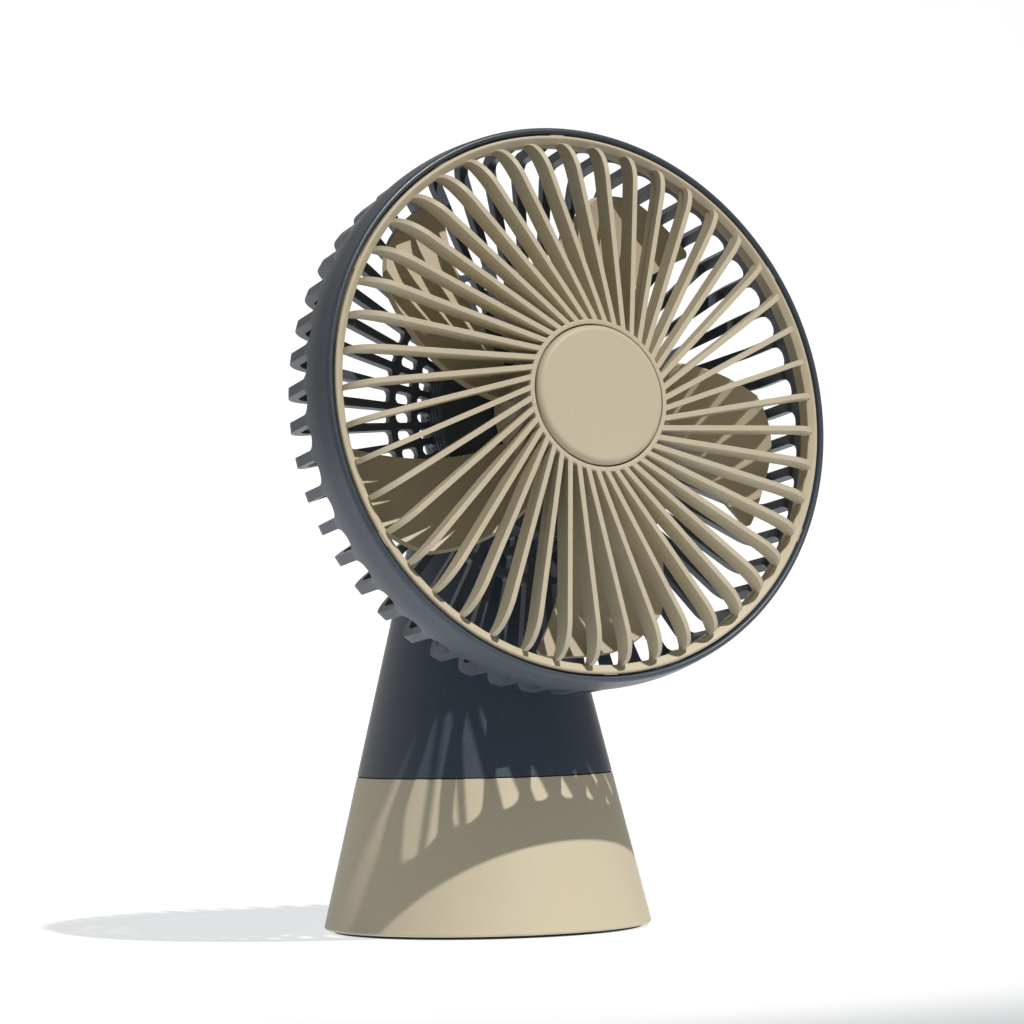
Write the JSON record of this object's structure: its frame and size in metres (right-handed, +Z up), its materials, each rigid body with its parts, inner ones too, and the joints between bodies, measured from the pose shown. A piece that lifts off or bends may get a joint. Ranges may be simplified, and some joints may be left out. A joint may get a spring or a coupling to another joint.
{
  "type": "table fan",
  "caption": "Small round table fan with a swirled spoke grille, tilting on a two-tone cone base.",
  "frame": {"origin": "centre of the foot's underside, on the table", "axes": "+Z up, the fan blows towards -Y, +X is the viewer's right when facing the grille"},
  "size_m": [0.1664, 0.1335, 0.2371],
  "materials": {
    "beige_plastic": "fine matte grain",
    "slate_plastic": "fine matte grain",
    "black_rubber": "matte",
    "steel": "turned",
    "aluminium": "cast and turned",
    "iron": "dark coated",
    "copper": "enamelled wire",
    "white_nylon": "satin",
    "cell_wrap": "heat-shrunk film",
    "board_green": "solder mask",
    "light_pipe": "polished",
    "lead_black": "satin"
  },
  "bodies": {
    "base": {"upper_cone": "slate_plastic", "lower_cone": "beige_plastic", "base_plate": "beige_plastic", "rubber_foot": "black_rubber", "ballast_weight": "iron", "battery_holder": "lead_black", "battery_clip": "lead_black", "battery_cell_left": "cell_wrap", "battery_cell_right": "cell_wrap", "circuit_board": "board_green", "tact_switch": "lead_black", "usb_socket": "steel", "light_pipe": "light_pipe", "base_screw_1": "steel", "base_screw_2": "steel", "base_screw_3": "steel", "motor_lead_base": "lead_black", "tilt_pin": "steel", "tilt_nut": "steel", "pin_cap_left": "slate_plastic", "pin_cap_right": "slate_plastic"},
    "head": {"rear_guard": "slate_plastic", "front_grille": "beige_plastic", "hub_cap": "beige_plastic", "motor_cover": "slate_plastic", "motor_base": "aluminium", "motor_screw_1": "steel", "motor_screw_2": "steel", "motor_screw_3": "steel", "front_bearing": "steel", "rear_bearing": "steel", "stator_core": "iron", "winding_front": "copper", "winding_back": "copper", "motor_lead_head": "lead_black", "tilt_knuckle": "slate_plastic", "knuckle_screw_1": "steel", "knuckle_screw_2": "steel", "friction_washer_left": "white_nylon", "friction_washer_right": "white_nylon"},
    "fan": {"impeller": "beige_plastic", "impeller_nut": "steel", "motor_shaft": "steel", "rotor_can": "steel", "magnet_ring": "iron"},
    "button": {"power_button": "slate_plastic"}
  },
  "joints": [
    {"name": "head_tilt", "type": "hinge", "parent": "base", "child": "head", "pos_m": [0, -0.008, 0.147], "axis": [-1, 0, 0], "range_deg": [-8.83, 45]},
    {"name": "fan_spin", "type": "hinge", "parent": "head", "child": "fan", "pos_m": [0, -0.04614, 0.15293], "axis": [0, -0.9881, 0.1535], "continuous": true},
    {"name": "button_press", "type": "slide", "parent": "base", "child": "button", "axis": [0, -0.9723, -0.2337], "range_m": [0, 0.001], "stiffness_N_per_m": 800}
  ]
}
